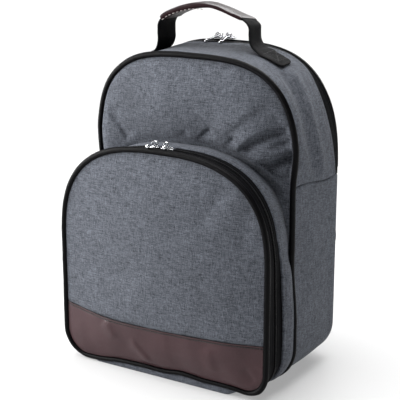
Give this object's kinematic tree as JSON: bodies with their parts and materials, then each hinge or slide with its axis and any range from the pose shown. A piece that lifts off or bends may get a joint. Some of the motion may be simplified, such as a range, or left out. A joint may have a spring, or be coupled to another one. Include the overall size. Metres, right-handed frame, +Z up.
{
  "type": "picnic backpack",
  "caption": "Arched cloth backpack with a zipped front pocket, dark piping, a leather-look foot band, a top carrying handle with a wrapped grip, and padded shoulder straps.",
  "frame": {"origin": "on the ground under the middle of the bag", "axes": "+Z up, -Y out of the front pocket, +X to the right as seen from the front"},
  "size_m": [0.2916, 0.2266, 0.4322],
  "materials": {
    "grey_cloth": "melange woven polyester, matt",
    "black_trim": "black woven tape and webbing with a dull sheen",
    "brown_leather": "dark brown leather-look, semi-gloss",
    "black_plastic": "moulded black plastic",
    "chrome": "bright plated zinc"
  },
  "bodies": {
    "bag": {"main_upper_gusset": "grey_cloth", "main_lower_gusset": "grey_cloth", "main_zipper": "black_trim", "main_front_piping": "black_trim", "main_front_panel": "grey_cloth", "main_back_panel": "grey_cloth", "pocket_zipper": "black_trim", "pocket_gusset": "grey_cloth", "pocket_bottom": "grey_cloth", "pocket_front_piping": "black_trim", "pocket_front_panel": "grey_cloth", "pocket_base_band": "brown_leather", "handle_webbing": "black_trim", "handle_grip": "brown_leather", "shoulder_pad_left": "grey_cloth", "strap_webbing_left": "black_trim", "strap_adjuster_left": "black_plastic", "shoulder_pad_right": "grey_cloth", "strap_webbing_right": "black_trim", "strap_adjuster_right": "black_plastic", "main_slider_left": "chrome", "main_slider_right": "chrome", "pocket_slider_left": "chrome", "pocket_slider_right": "chrome"},
    "main_pull_left": {"main_pull_left": "chrome"},
    "main_pull_right": {"main_pull_right": "chrome"},
    "pocket_pull_left": {"pocket_pull_left": "chrome"},
    "pocket_pull_right": {"pocket_pull_right": "chrome"}
  },
  "joints": [
    {"name": "main_pull_left_hinge", "type": "hinge", "parent": "bag", "child": "main_pull_left", "pos_m": [-0.0183, 0.0594, 0.38959], "axis": [-0.8826, 0.4695, -0.025], "range_deg": [0, 150]},
    {"name": "main_pull_right_hinge", "type": "hinge", "parent": "bag", "child": "main_pull_right", "pos_m": [-0.00466, 0.0594, 0.38983], "axis": [-0.9994, 0.0349, -0.0077], "range_deg": [0, 150]},
    {"name": "pocket_pull_left_hinge", "type": "hinge", "parent": "bag", "child": "pocket_pull_left", "pos_m": [-0.02017, -0.07957, 0.27878], "axis": [-0.9841, -0.1736, -0.0376], "range_deg": [0, 150]},
    {"name": "pocket_pull_right_hinge", "type": "hinge", "parent": "bag", "child": "pocket_pull_right", "pos_m": [-0.00511, -0.07957, 0.27908], "axis": [-0.866, -0.5, -0.0022], "range_deg": [0, 150]}
  ]
}
